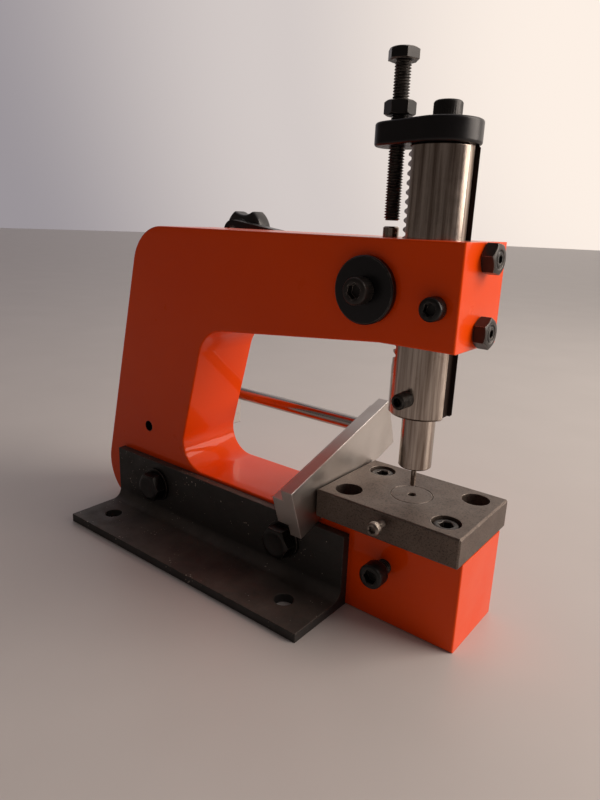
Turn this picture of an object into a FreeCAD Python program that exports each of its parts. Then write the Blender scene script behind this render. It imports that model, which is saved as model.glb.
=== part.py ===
import FreeCAD, Part
import math
import os

# A bench-top lever punch: a C-shaped frame carries a ram, which a lever drives down through
# a rack and pinion, so that a needle punch enters a die let into the die plate below it.
# Millimetres. +Z is up, +X is towards the front, -Y is the side with the mounting bracket.
# The origin is the foot of the ram's axis, on the surface that the frame stands on.

# Fits
RUNNING_GAP = 0.05           # radial clearance of everything that slides or turns in a bore
THREAD_GAP = 0.05            # radial clearance of a screw in its tapped hole
SEAT_GAP = 0.05              # gap at the tip of a screw that presses on something
FACE_GAP = 0.2               # gap between flat faces that turn past each other
BOLT_GAP = 0.25              # radial clearance of a screw in a plain hole
REST_GAP = 0.1               # gap between the fence and the edge that it rests on

# C-frame
FRAME_WIDTH = 36.0           # along Y
FRONT_BLOCK_LENGTH = 63.0    # along X, centred under the ram
BLOCK_TOP_Z = 37.4
LOWER_ARM_TOP_Z = 33.8
ARM_UNDERSIDE_Z = 112.5
ARM_HEIGHT = 37.0
ARM_FRONT_WALL = 4.7         # in front of the gib
UNDERSIDE_KINK_X = -10.2     # the underside is level in front of this and slopes behind it
UNDERSIDE_SLOPE = 5.0        # degrees
COLUMN_INNER_X = -121.4      # where the column's inner edge would meet the lower arm
COLUMN_INNER_LEAN = 14.9     # degrees from the vertical
COLUMN_BACK_X = -185.4       # where the back edge would meet the standing surface
COLUMN_BACK_LEAN = 14.2      # degrees from the vertical
THROAT_LOW_RADIUS = 13.0
THROAT_HIGH_RADIUS = 16.0
BACK_TOP_RADIUS = 21.0
BACK_LOW_RADIUS = 22.0
FRAME_EDGE_ROUND = 0.8

# Ram
RAM_DIAMETER = 24.5
RAM_ABOVE_ARM = 31.6
RAM_CHAMFER = 0.8
KEYWAY_WIDTH = 8.0
KEYWAY_DEPTH = 2.5
GIB_PROUD = 2.75             # how far the gib stands out of the ram, into the arm

# Rack and pinion
MODULE = 1.0
PRESSURE_ANGLE = 20.0        # degrees
PINION_TEETH = 16
PINION_BELOW_TOP = 18.5      # from the arm's top to the pinion's axis
RACK_FLAT_DEPTH = 2.95       # from the ram's surface to the rack's tooth tips
RACK_SPACES_ABOVE = 15       # tooth spaces above the one in mesh
RACK_SPACES_BELOW = 8
RACK_SHIFT = 1.1             # from the pinion's axis up to the middle of the space in mesh
RACK_RUNOUT_RADIUS = 3.2     # the cutter's sweep where the rack's flat ends
RACK_RUNOUT_LENGTH = 0.6     # flat left below the last space
TOOTH_GAP = 0.08             # clearance on each flank
PINION_WIDTH = 16.0
FLANK_STEPS = 8              # points on each flank of a pinion tooth
MESH_SWEEP = 60              # degrees either way over which a tooth meets the rack

# Pinion shaft, its bushes and the disc that keeps it in
SHAFT_DIAMETER = 10.0
PINION_BORE_GAP = 1.0        # round the teeth, in the bore that the bushes fit
BUSH_END_GAP = 1.5           # along the shaft, from the teeth to a bush
BUSH_RAM_GAP = 0.5           # along the shaft, from the ram's side to a bush
DISC_DIAMETER = 24.8
DISC_THICKNESS = 3.0
SHAFT_TAP_DEPTH = 14.0       # tapped hole in the shaft's near end

# Lever and its knob
HUB_DIAMETER = 22.0
LEVER_ROD_GAP = 2.0          # between the lever's bar and the fence's rod, which it passes
LEVER_WIDTH = 12.0
LEVER_THICKNESS = 6.0
LEVER_LENGTH = 119.5         # pivot to knob
LEVER_REST_ANGLE = 7.9       # degrees above the horizontal, pointing back
HUB_PIN_DIAMETER = 3.0
LEVER_TAP_DEPTH = 8.0        # tapped hole in the shaft's far end, past the hub's pin
KNOB_DIAMETER = 25.0
KNOB_THICKNESS = 10.0
KNOB_BEVEL = 1.0
KNOB_BOSS_DIAMETER = 13.0
KNOB_BOSS_LENGTH = 2.0
KNOB_LOBES = 3
SCALLOP_RADIUS = 12.9
SCALLOP_OUTSIDE = 9.3        # from the knob's rim out to a scallop's centre
STUD_DEPTH_IN_KNOB = 8.0

# Cap on the ram, with the depth stop that hangs from it
CAP_THICKNESS = 8.1
CAP_RIM = 0.45               # how far the cap stands out past the ram
CAP_SMALL_RADIUS = 8.4
CAP_EDGE_ROUND = 1.0
CAP_SCREW_DEPTH = 14.0       # tapped hole in the ram's top
STOP_FROM_RAM = 6.55         # from the ram's surface to the stop's axis
STOP_BOLT_LENGTH = 53.9
STOP_BOLT_TURN = 12.0        # degrees, of its head's corners from straight forward
STOP_OPENING = 2.1           # travel left between the stop bolt and its pin
STOP_NUT_ABOVE_CAP = 2.4
STOP_NUT_TURN = 28.0         # degrees, of its corners from straight forward
STOP_PIN_DIAMETER = 6.0
STOP_PIN_HEIGHT = 3.9        # above the arm
STOP_PIN_DEPTH = 7.0         # in the arm

# Punch
HOLDER_DIAMETER = 13.0
HOLDER_LENGTH_BELOW = 22.0   # below the ram
HOLDER_DEPTH = 20.0          # how far it goes up into the ram
PUNCH_DIAMETER = 2.1
PUNCH_LENGTH_BELOW = 8.4     # below its holder
PUNCH_OPENING = 4.2          # between the punch and the die plate
PUNCH_DEPTH = 14.0           # how far it goes up into its holder
RAM_SCREW_HEIGHT = 8.0       # above the ram's foot
RAM_SCREW_PROUD = 6.5        # how far it stands out of the ram

# Die plate and die
PLATE_OVERHANG = 4.5         # past each side of the frame
PLATE_THICKNESS = 12.0
PLATE_CHAMFER = 0.6
DIE_DIAMETER = 17.2
DIE_HOLE = 3.2
DIE_LAND = 5.0               # length of the cutting hole, above the relief
DIE_RELIEF = 6.0
PLATE_HOLE_FROM_END = 9.9
PLATE_HOLE_FROM_SIDE = 4.7   # inside the frame's side face
PLATE_PLAIN_HOLE = 11.2
COUNTERBORE = 11.3
COUNTERBORE_DEPTH = 6.8
PLATE_SCREW_LENGTH = 16.0
SLUG_HOLE = 10.0
CLAMP_SCREW_BELOW_TOP = 4.4
CLAMP_SCREW_PROUD = 4.5      # bare thread between the plate and the head

# Screws in the block and the arm
BLOCK_SCREW_BELOW_TOP = 12.8
BLOCK_SCREW_PROUD = 5.0
BLOCK_SCREW_WALL = 3.0       # between the screw's hole and the slug hole
ARM_SCREW_INSIDE = 0.95      # from the ram's front back to the screw's axis
ARM_SCREW_HEIGHT = 14.8      # above the arm's underside
ARM_SCREW_WALL = 0.65        # between the screw's hole and the ram's bore
GIB_SCREW_ABOVE = 5.9        # above the arm's underside
GIB_SCREW_BELOW = 5.5        # below the arm's top
GIB_NUT_TURN = (0.0, 20.0)   # degrees from corners up, lower nut first

# Mounting bracket
BRACKET_BACK_X = -165.0
BRACKET_FRONT_X = -17.0
BRACKET_HEIGHT = 32.6
BRACKET_FOOT = 34.0          # from the frame's side face to the foot's edge
BRACKET_THICKNESS = 4.0
BRACKET_BEND = 5.0
BRACKET_BOLT_FROM_BACK = 32.2
BRACKET_BOLT_FROM_FRONT = 31.1
BRACKET_BOLT_Z = 20.8
BRACKET_BOLT_LENGTH = 25.0
FOOT_HOLE_FROM_BACK = 14.9
FOOT_HOLE_FROM_FRONT = 17.5
FOOT_HOLE_FROM_EDGE = 14.5
FOOT_HOLE_DIAMETER = 8.5
WASHER_DIAMETER = 17.0
WASHER_THICKNESS = 1.6

# Fence, its rod and the block that holds the rod
ROD_DIAMETER = 7.0
ROD_FROM_SIDE = 9.5          # from the frame's side face to the rod's axis
ROD_ABOVE_ARM = 28.4         # above the lower arm's top
ROD_BACK_X = -165.0
FENCE_BEHIND_PLATE = 0.5
FENCE_PLATE = 5.5
FENCE_RIB = 5.5
FENCE_RIB_HEIGHT = 13.0
FENCE_HEIGHT = 23.5
FENCE_LENGTH = 74.4
FENCE_ROD_FROM_END = 9.0
FENCE_ROD_ABOVE_MIDDLE = 0.6
FENCE_SOCKET_DEPTH = 8.5
FENCE_GRUB_LENGTH = 6.0
FENCE_GRUB_WALL = 0.5        # between the screw's hole and the back of the fence's plate
HOLDER_BLOCK_X = -143.8
HOLDER_BLOCK_LENGTH = 25.0
HOLDER_BLOCK_DEPTH = 20.0
HOLDER_BLOCK_BELOW_ROD = 21.2
HOLDER_BLOCK_ABOVE_ROD = 8.8
HOLDER_SCREW_BELOW_ROD = 13.3
HOLDER_SCREW_LENGTH = 45.0

# Metric sizes: thread, socket head, its height, socket across flats
M3 = {"thread": 3.0, "head": 5.5, "height": 3.0, "socket": 2.5}
M5 = {"thread": 5.0, "head": 8.5, "height": 5.0, "socket": 4.0}
M6 = {"thread": 6.0, "head": 10.0, "height": 6.0, "socket": 5.0}
GRUB_SOCKET = {3.0: 1.5, 6.0: 3.0}
M6_HEX = 10.0                # across flats
M6_HEX_HEIGHT = 4.0
M6_NUT_HEIGHT = 5.0
M8_THREAD = 8.0
M8_HEX = 13.0
M8_HEX_HEIGHT = 5.3
SCREW_CHAMFER = 0.5
THREAD_RUNOUT = 1.0          # tapped hole left past a screw's tip
HEX_CHAMFER_ANGLE = 30       # degrees, on bolt heads and nuts
HEX_FLAT_SHARE = 0.97        # the chamfer's circle against the width across flats
HEAD_BEVEL_SHARE = 0.1       # a socket head's top bevel against its height

# Places that follow from the sizes above
SIDE_Y = FRAME_WIDTH / 2
BLOCK_X = FRONT_BLOCK_LENGTH / 2
ARM_TOP_Z = ARM_UNDERSIDE_Z + ARM_HEIGHT
RAM_RADIUS = RAM_DIAMETER / 2
RAM_TOP_Z = ARM_TOP_Z + RAM_ABOVE_ARM
GIB_FRONT_X = RAM_RADIUS + GIB_PROUD
ARM_FRONT_X = GIB_FRONT_X + ARM_FRONT_WALL
PITCH_RADIUS = MODULE * PINION_TEETH / 2
RACK_TIP_X = RACK_FLAT_DEPTH - RAM_RADIUS
RACK_PITCH_X = RACK_TIP_X + MODULE
PINION_X = RACK_PITCH_X - PITCH_RADIUS
PINION_Z = ARM_TOP_Z - PINION_BELOW_TOP
TOOTH_PITCH = math.pi * MODULE
DEDENDUM = 1.25 * MODULE
BUSH_OUTER = 2 * (PITCH_RADIUS + MODULE + PINION_BORE_GAP)
RAM_HALF_CHORD = math.sqrt(RAM_RADIUS ** 2 - (PINION_X + BUSH_OUTER / 2) ** 2)
BUSH_START_Y = max(PINION_WIDTH / 2 + BUSH_END_GAP, RAM_HALF_CHORD + BUSH_RAM_GAP)
BUSH_LENGTH = SIDE_Y - BUSH_START_Y
SHAFT_NEAR_Y = -SIDE_Y - FACE_GAP
ROD_Y = SIDE_Y + ROD_FROM_SIDE
ROD_Z = LOWER_ARM_TOP_Z + ROD_ABOVE_ARM
HUB_BACK_Y = ROD_Y + ROD_DIAMETER / 2 + LEVER_ROD_GAP
KNOB_X = PINION_X - LEVER_LENGTH
KNOB_FRONT_Y = HUB_BACK_Y + LEVER_THICKNESS + KNOB_BOSS_LENGTH
SCALLOP_CENTRE = KNOB_DIAMETER / 2 + SCALLOP_OUTSIDE
CAP_BIG_RADIUS = RAM_RADIUS + CAP_RIM
CAP_TOP_Z = RAM_TOP_Z + CAP_THICKNESS
STOP_X = -RAM_RADIUS - STOP_FROM_RAM
STOP_PIN_TOP_Z = ARM_TOP_Z + STOP_PIN_HEIGHT
STOP_BOLT_HEAD_Z = STOP_PIN_TOP_Z + STOP_OPENING + STOP_BOLT_LENGTH
PLATE_TOP_Z = BLOCK_TOP_Z + PLATE_THICKNESS
PUNCH_TIP_Z = PLATE_TOP_Z + PUNCH_OPENING
HOLDER_LOW_Z = PUNCH_TIP_Z + PUNCH_LENGTH_BELOW
RAM_BOTTOM_Z = HOLDER_LOW_Z + HOLDER_LENGTH_BELOW
RAM_LENGTH = RAM_TOP_Z - RAM_BOTTOM_Z
RAM_SCREW_Z = RAM_BOTTOM_Z + RAM_SCREW_HEIGHT
PLATE_Y = SIDE_Y + PLATE_OVERHANG
PLATE_HOLE_X = BLOCK_X - PLATE_HOLE_FROM_END
PLATE_HOLE_Y = SIDE_Y - PLATE_HOLE_FROM_SIDE
BLOCK_SCREW_DEPTH = SIDE_Y - SLUG_HOLE / 2 - BLOCK_SCREW_WALL
ARM_SCREW_X = RAM_RADIUS - ARM_SCREW_INSIDE
GIB_SCREW_Z = (ARM_UNDERSIDE_Z + GIB_SCREW_ABOVE, ARM_TOP_Z - GIB_SCREW_BELOW)
BRACKET_X = (BRACKET_BACK_X, BRACKET_FRONT_X)
BRACKET_BOLT_X = (BRACKET_BACK_X + BRACKET_BOLT_FROM_BACK, BRACKET_FRONT_X - BRACKET_BOLT_FROM_FRONT)
FOOT_HOLE_X = (BRACKET_BACK_X + FOOT_HOLE_FROM_BACK, BRACKET_FRONT_X - FOOT_HOLE_FROM_FRONT)
BRACKET_EDGE_Y = -SIDE_Y - BRACKET_FOOT
FENCE_FACE_X = -BLOCK_X - FENCE_BEHIND_PLATE
FENCE_BACK_X = FENCE_FACE_X - FENCE_PLATE - FENCE_RIB
THROUGH = 1.0                # how far a cutter runs past the face that it leaves by

V = FreeCAD.Vector
UP = V(0, 0, 1)
DOWN = V(0, 0, -1)
FORWARD = V(1, 0, 0)
FAR = V(0, 1, 0)
NEAR = V(0, -1, 0)


def placed(shape, base, direction):
    """Stand a shape made along +Z at base, along direction."""
    shape.Placement = FreeCAD.Placement(base, FreeCAD.Rotation(UP, direction))
    return shape


def turned(profile, base, direction):
    """A turned solid. The profile is (radius, height) points, closed back to the first."""
    points = [V(radius, 0, height) for radius, height in profile]
    face = Part.Face(Part.makePolygon(points + points[:1]))
    return placed(face.revolve(V(0, 0, 0), UP, 360), base, direction)


def rod(diameter, length, base, direction, chamfer=0.0):
    """A round bar with a chamfer at both ends."""
    radius = diameter / 2
    if not chamfer:
        return placed(Part.makeCylinder(radius, length), base, direction)
    small = radius - chamfer
    profile = [(0, 0), (small, 0), (radius, chamfer), (radius, length - chamfer),
               (small, length), (0, length)]
    return turned(profile, base, direction)


def ring(outer, inner, length, base, direction, chamfer=0.0):
    """A round bar with a hole along its axis."""
    hole = placed(Part.makeCylinder(inner / 2, length), base, direction)
    return rod(outer, length, base, direction, chamfer).cut(hole)


def block(x, y, z):
    """A box between two limits on each axis."""
    return Part.makeBox(x[1] - x[0], y[1] - y[0], z[1] - z[0], V(x[0], y[0], z[0]))


def hexagon(across_flats, height, turn=0.0):
    """A six-sided prism on the origin, corner towards +X before it is turned."""
    corner = across_flats / math.sqrt(3)
    angles = [math.radians(60 * i + turn) for i in range(6)]
    points = [V(corner * math.cos(a), corner * math.sin(a), 0) for a in angles]
    return Part.Face(Part.makePolygon(points + points[:1])).extrude(V(0, 0, height))


def hex_head(across_flats, height, turn=0.0, low_chamfer=False):
    """A hexagon with its corners chamfered at 30 degrees, as on a bolt head or a nut."""
    flat = HEX_FLAT_SHARE * across_flats / 2
    corner = across_flats / math.sqrt(3) + THROUGH
    drop = (corner - flat) * math.tan(math.radians(HEX_CHAMFER_ANGLE))
    low = [(0, 0), (flat, 0), (corner, drop)] if low_chamfer else [(0, 0), (corner, 0)]
    top = [(corner, height - drop), (flat, height), (0, height)]
    return hexagon(across_flats, height, turn).common(turned(low + top, V(0, 0, 0), UP))


def cap_screw(size, length, seat, direction):
    """A socket cap screw: seat is under the head, direction points out of the head."""
    thread, head = size["thread"] / 2, size["head"] / 2
    height = size["height"]
    bevel = HEAD_BEVEL_SHARE * height
    profile = [(0, -length), (thread - SCREW_CHAMFER, -length), (thread, SCREW_CHAMFER - length),
               (thread, 0), (head, 0), (head, height - bevel), (head - bevel, height),
               (0, height)]
    body = turned(profile, V(0, 0, 0), UP)
    socket = hexagon(size["socket"], height)
    socket.translate(V(0, 0, height / 2))
    return placed(body.cut(socket), seat, direction)


def grub_screw(thread, length, base, direction):
    """A set screw from base along direction, which points out of its socket."""
    body = rod(thread, length, V(0, 0, 0), UP, SCREW_CHAMFER)
    socket = hexagon(GRUB_SOCKET[thread], length)
    socket.translate(V(0, 0, length - thread / 2))
    return placed(body.cut(socket), base, direction)


def hex_bolt(thread, across_flats, height, length, seat, direction, turn=0.0):
    """A hexagon-head bolt: seat is under the head, direction points out of the head."""
    shank = rod(thread, length, V(0, 0, -length), UP)
    tip = turned([(0, 0), (thread / 2 - SCREW_CHAMFER, 0), (thread / 2, SCREW_CHAMFER),
                  (thread / 2, length), (0, length)], V(0, 0, -length), UP)
    return placed(shank.common(tip).fuse(hex_head(across_flats, height, turn)), seat, direction)


def hex_nut(thread, across_flats, height, base, direction, turn=0.0):
    """A hexagon nut on a thread."""
    nut = hex_head(across_flats, height, turn, low_chamfer=True)
    return placed(nut.cut(Part.makeCylinder(thread / 2 + THREAD_GAP, height)), base, direction)


def tapped(thread, length, base, direction):
    """The cutter for a tapped hole."""
    return rod(thread + 2 * THREAD_GAP, length, base, direction)


def rounded_outline(corners):
    """A closed wire in the XZ plane through (x, z, radius) corners, with tangent arcs."""
    edges = []
    spots = [V(x, 0, z) for x, z, radius in corners]
    arcs = []
    for i, (x, z, radius) in enumerate(corners):
        before = (spots[i - 1] - spots[i]).normalize()
        after = (spots[(i + 1) % len(spots)] - spots[i]).normalize()
        half = before.getAngle(after) / 2
        reach = radius / math.tan(half)
        inward = (before + after).normalize()
        middle = spots[i] + inward * (radius / math.sin(half) - radius)
        arcs.append((spots[i] + before * reach, middle, spots[i] + after * reach, radius))
    for i, (start, middle, end, radius) in enumerate(arcs):
        if radius:
            edges.append(Part.Arc(start, middle, end).toShape())
        edges.append(Part.LineSegment(end, arcs[(i + 1) % len(arcs)][0]).toShape())
    return Part.Wire(edges)


def crossing(x, z, lean, level_z):
    """Where a line through (x, z), leaning forward by lean degrees, reaches level_z."""
    return x + (level_z - z) * math.tan(math.radians(lean))


# C-frame
def frame_corners():
    """The side outline, from the foot of the front block round to the back."""
    slope = math.tan(math.radians(UNDERSIDE_SLOPE))
    lean = math.tan(math.radians(COLUMN_INNER_LEAN))
    rise = ARM_UNDERSIDE_Z - LOWER_ARM_TOP_Z
    inner_x = COLUMN_INNER_X + lean * rise
    inner_x -= lean * slope * (UNDERSIDE_KINK_X - inner_x) / (1 - lean * slope)
    inner_z = ARM_UNDERSIDE_Z - slope * (UNDERSIDE_KINK_X - inner_x)
    back_top_x = crossing(COLUMN_BACK_X, 0, COLUMN_BACK_LEAN, ARM_TOP_Z)
    return [(BLOCK_X, 0, 0), (BLOCK_X, BLOCK_TOP_Z, 0),
            (-BLOCK_X, BLOCK_TOP_Z, 0), (-BLOCK_X, LOWER_ARM_TOP_Z, 0),
            (COLUMN_INNER_X, LOWER_ARM_TOP_Z, THROAT_LOW_RADIUS),
            (inner_x, inner_z, THROAT_HIGH_RADIUS),
            (UNDERSIDE_KINK_X, ARM_UNDERSIDE_Z, 0), (ARM_FRONT_X, ARM_UNDERSIDE_Z, 0),
            (ARM_FRONT_X, ARM_TOP_Z, 0), (back_top_x, ARM_TOP_Z, BACK_TOP_RADIUS),
            (COLUMN_BACK_X, 0, BACK_LOW_RADIUS)]


def arm_screw_depth():
    """The hole stops short of the ram's bore, at the side of the hole that is nearest to it."""
    bore = RAM_RADIUS + RUNNING_GAP
    nearest_x = ARM_SCREW_X - M5["thread"] / 2 - THREAD_GAP
    return SIDE_Y - math.sqrt(bore ** 2 - nearest_x ** 2) - ARM_SCREW_WALL


def c_frame():
    body = Part.Face(rounded_outline(frame_corners())).extrude(V(0, FRAME_WIDTH, 0))
    body.translate(V(0, -SIDE_Y, 0))
    rims = [e for e in body.Edges if e.BoundBox.YLength < FRAME_EDGE_ROUND]
    body = body.makeFillet(FRAME_EDGE_ROUND, rims)
    arm_z = ARM_UNDERSIDE_Z - THROUGH
    arm_height = ARM_TOP_Z - ARM_UNDERSIDE_Z + 2 * THROUGH
    slot_y = KEYWAY_WIDTH / 2
    wall_x = GIB_FRONT_X + SEAT_GAP
    cutters = [
        rod(RAM_DIAMETER + 2 * RUNNING_GAP, arm_height, V(0, 0, arm_z), UP),
        block((0, wall_x), (-slot_y, slot_y), (arm_z, arm_z + arm_height)),
        rod(BUSH_OUTER, FRAME_WIDTH + 2 * THROUGH, V(PINION_X, -SIDE_Y - THROUGH, PINION_Z), FAR),
        tapped(M5["thread"], arm_screw_depth() + THROUGH,
               V(ARM_SCREW_X, -SIDE_Y - THROUGH, ARM_UNDERSIDE_Z + ARM_SCREW_HEIGHT), FAR),
        rod(STOP_PIN_DIAMETER + 2 * THREAD_GAP, STOP_PIN_DEPTH + THROUGH,
            V(STOP_X, 0, ARM_TOP_Z - STOP_PIN_DEPTH), UP),
        rod(SLUG_HOLE, BLOCK_TOP_Z + 2 * THROUGH, V(0, 0, -THROUGH), UP),
        tapped(M6["thread"], BLOCK_SCREW_DEPTH + THROUGH,
               V(0, -SIDE_Y - THROUGH, BLOCK_TOP_Z - BLOCK_SCREW_BELOW_TOP), FAR),
        tapped(M5["thread"], FRAME_WIDTH + 2 * THROUGH,
               V(HOLDER_BLOCK_X, -SIDE_Y - THROUGH, ROD_Z - HOLDER_SCREW_BELOW_ROD), FAR)]
    for z in GIB_SCREW_Z:
        cutters.append(tapped(M6["thread"], ARM_FRONT_X - wall_x + 2 * THROUGH,
                              V(wall_x - THROUGH, 0, z), FORWARD))
    for x in BRACKET_BOLT_X:
        depth = BRACKET_BOLT_LENGTH - BRACKET_THICKNESS - WASHER_THICKNESS
        cutters.append(tapped(M8_THREAD, depth + 2 * THROUGH,
                              V(x, -SIDE_Y - THROUGH, BRACKET_BOLT_Z), FAR))
    for x, y in plate_screw_places():
        depth = PLATE_SCREW_LENGTH - (PLATE_THICKNESS - COUNTERBORE_DEPTH)
        cutters.append(tapped(M6["thread"], depth + 2 * THROUGH,
                              V(x, y, BLOCK_TOP_Z - depth - THROUGH), UP))
    for cutter in cutters:
        body = body.cut(cutter)
    return body


# Ram and rack
def rack_cutter():
    """One tooth space of the rack, as a bar along Y with its middle at height 0."""
    slant = math.tan(math.radians(PRESSURE_ANGLE))
    half = TOOTH_PITCH / 4 + TOOTH_GAP
    wide = half + (MODULE + THROUGH) * slant
    narrow = half - DEDENDUM * slant
    mouth_x = RACK_TIP_X - THROUGH
    root_x = RACK_PITCH_X + DEDENDUM
    points = [V(mouth_x, -RAM_RADIUS, -wide), V(mouth_x, -RAM_RADIUS, wide),
              V(root_x, -RAM_RADIUS, narrow), V(root_x, -RAM_RADIUS, -narrow)]
    return Part.Face(Part.makePolygon(points + points[:1])).extrude(V(0, RAM_DIAMETER, 0))


def ram():
    body = rod(RAM_DIAMETER, RAM_LENGTH, V(0, 0, RAM_BOTTOM_Z), UP, RAM_CHAMFER)
    mesh_z = PINION_Z + RACK_SHIFT
    flat_z = mesh_z - (RACK_SPACES_BELOW + 0.5) * TOOTH_PITCH - RACK_RUNOUT_LENGTH
    sweep_x = RACK_TIP_X - RACK_RUNOUT_RADIUS
    flat = block((sweep_x, RACK_TIP_X), (-RAM_RADIUS, RAM_RADIUS), (flat_z, RAM_TOP_Z + THROUGH))
    sweep = rod(2 * RACK_RUNOUT_RADIUS, RAM_DIAMETER, V(sweep_x, -RAM_RADIUS, flat_z), FAR)
    keyway = block((RAM_RADIUS - KEYWAY_DEPTH, RAM_RADIUS + THROUGH),
                   (-KEYWAY_WIDTH / 2, KEYWAY_WIDTH / 2),
                   (RAM_BOTTOM_Z - THROUGH, RAM_TOP_Z + THROUGH))
    spaces = []
    for i in range(-RACK_SPACES_BELOW, RACK_SPACES_ABOVE + 1):
        space = rack_cutter()
        space.translate(V(0, 0, mesh_z + i * TOOTH_PITCH))
        spaces.append(space)
    bore = rod(HOLDER_DIAMETER + 2 * THREAD_GAP, HOLDER_DEPTH + THROUGH,
               V(0, 0, RAM_BOTTOM_Z - THROUGH), UP)
    cap_hole = tapped(M6["thread"], CAP_SCREW_DEPTH + THROUGH, V(0, 0, RAM_TOP_Z - CAP_SCREW_DEPTH),
                      UP)
    side_hole = tapped(M6["thread"], RAM_RADIUS + THROUGH, V(0, 0, RAM_SCREW_Z), NEAR)
    for cutter in [flat, sweep, keyway, Part.Compound(spaces), bore, cap_hole, side_hole]:
        body = body.cut(cutter)
    return body


def ram_gib():
    half = KEYWAY_WIDTH / 2 - RUNNING_GAP
    inner = RAM_RADIUS - KEYWAY_DEPTH + RUNNING_GAP
    return block((inner, GIB_FRONT_X), (-half, half), (ARM_UNDERSIDE_Z, ARM_TOP_Z))


def gib_set_screws():
    start = GIB_FRONT_X + SEAT_GAP
    length = ARM_FRONT_X + M6_NUT_HEIGHT - start
    return Part.Compound([grub_screw(M6["thread"], length, V(start, 0, z), FORWARD)
                          for z in GIB_SCREW_Z])


def gib_lock_nuts():
    return Part.Compound([hex_nut(M6["thread"], M6_HEX, M6_NUT_HEIGHT, V(ARM_FRONT_X, 0, z),
                                  FORWARD, turn)
                          for z, turn in zip(GIB_SCREW_Z, GIB_NUT_TURN)])


def arm_side_screw():
    seat = V(ARM_SCREW_X, -SIDE_Y, ARM_UNDERSIDE_Z + ARM_SCREW_HEIGHT)
    return cap_screw(M5, arm_screw_depth() - THREAD_GAP, seat, NEAR)


def ram_set_screw():
    tip = HOLDER_DIAMETER / 2 + SEAT_GAP
    length = RAM_RADIUS + RAM_SCREW_PROUD - tip
    return grub_screw(M6["thread"], length, V(0, -tip, RAM_SCREW_Z), NEAR)


# Cap and depth stop
def ram_cap():
    """A plate round two circles, joined by their common tangents."""
    turn = math.acos((CAP_BIG_RADIUS - CAP_SMALL_RADIUS) / -STOP_X)
    big = V(-CAP_BIG_RADIUS * math.cos(turn), CAP_BIG_RADIUS * math.sin(turn), 0)
    small = V(STOP_X - CAP_SMALL_RADIUS * math.cos(turn), CAP_SMALL_RADIUS * math.sin(turn), 0)
    mirror = [V(p.x, -p.y, 0) for p in (big, small)]
    edges = [Part.Arc(mirror[0], V(CAP_BIG_RADIUS, 0, 0), big).toShape(),
             Part.LineSegment(big, small).toShape(),
             Part.Arc(small, V(STOP_X - CAP_SMALL_RADIUS, 0, 0), mirror[1]).toShape(),
             Part.LineSegment(mirror[1], mirror[0]).toShape()]
    plate = Part.Face(Part.Wire(edges)).extrude(V(0, 0, CAP_THICKNESS))
    rims = [e for e in plate.Edges if e.BoundBox.ZLength < CAP_EDGE_ROUND]
    plate = plate.makeFillet(CAP_EDGE_ROUND, rims)
    plate.translate(V(0, 0, RAM_TOP_Z))
    screw_hole = rod(M6["thread"] + 2 * BOLT_GAP, CAP_THICKNESS, V(0, 0, RAM_TOP_Z), UP)
    stop_hole = tapped(M6["thread"], CAP_THICKNESS, V(STOP_X, 0, RAM_TOP_Z), UP)
    return plate.cut(screw_hole).cut(stop_hole)


def ram_cap_screw():
    return cap_screw(M6, CAP_THICKNESS + CAP_SCREW_DEPTH - THREAD_RUNOUT, V(0, 0, CAP_TOP_Z), UP)


def depth_stop_bolt():
    return hex_bolt(M6["thread"], M6_HEX, M6_HEX_HEIGHT, STOP_BOLT_LENGTH,
                    V(STOP_X, 0, STOP_BOLT_HEAD_Z), UP, STOP_BOLT_TURN)


def depth_lock_nut():
    base = V(STOP_X, 0, CAP_TOP_Z + STOP_NUT_ABOVE_CAP)
    return hex_nut(M6["thread"], M6_HEX, M6_NUT_HEIGHT, base, UP, STOP_NUT_TURN)


def stop_pin():
    base_z = ARM_TOP_Z - STOP_PIN_DEPTH + THREAD_GAP
    return rod(STOP_PIN_DIAMETER, STOP_PIN_TOP_Z - base_z, V(STOP_X, 0, base_z), UP, SCREW_CHAMFER)


# Punch
def punch_holder():
    top_z = RAM_BOTTOM_Z + HOLDER_DEPTH - SEAT_GAP
    body = rod(HOLDER_DIAMETER, top_z - HOLDER_LOW_Z, V(0, 0, HOLDER_LOW_Z), UP, SCREW_CHAMFER)
    return body.cut(rod(PUNCH_DIAMETER + 2 * THREAD_GAP, PUNCH_DEPTH + THROUGH,
                        V(0, 0, HOLDER_LOW_Z - THROUGH), UP))


def punch():
    top_z = HOLDER_LOW_Z + PUNCH_DEPTH - SEAT_GAP
    return rod(PUNCH_DIAMETER, top_z - PUNCH_TIP_Z, V(0, 0, PUNCH_TIP_Z), UP)


# Pinion, shaft and lever
def tooth_half_angle(radius):
    """Half the angle of a pinion tooth at a radius, where the rack's teeth just pass it."""
    slant = math.tan(math.radians(PRESSURE_ANGLE))
    best = math.pi / PINION_TEETH
    for step in range(-MESH_SWEEP, MESH_SWEEP + 1):
        swing = math.radians(step)
        out = radius * math.cos(swing)
        if out <= PITCH_RADIUS - MODULE - TOOTH_GAP:
            continue
        rack_half = TOOTH_PITCH / 4 - (PITCH_RADIUS - out) * slant + TOOTH_GAP
        free = TOOTH_PITCH / 2 - rack_half - radius * math.sin(swing)
        best = min(best, swing + free / PITCH_RADIUS)
    return best


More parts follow.
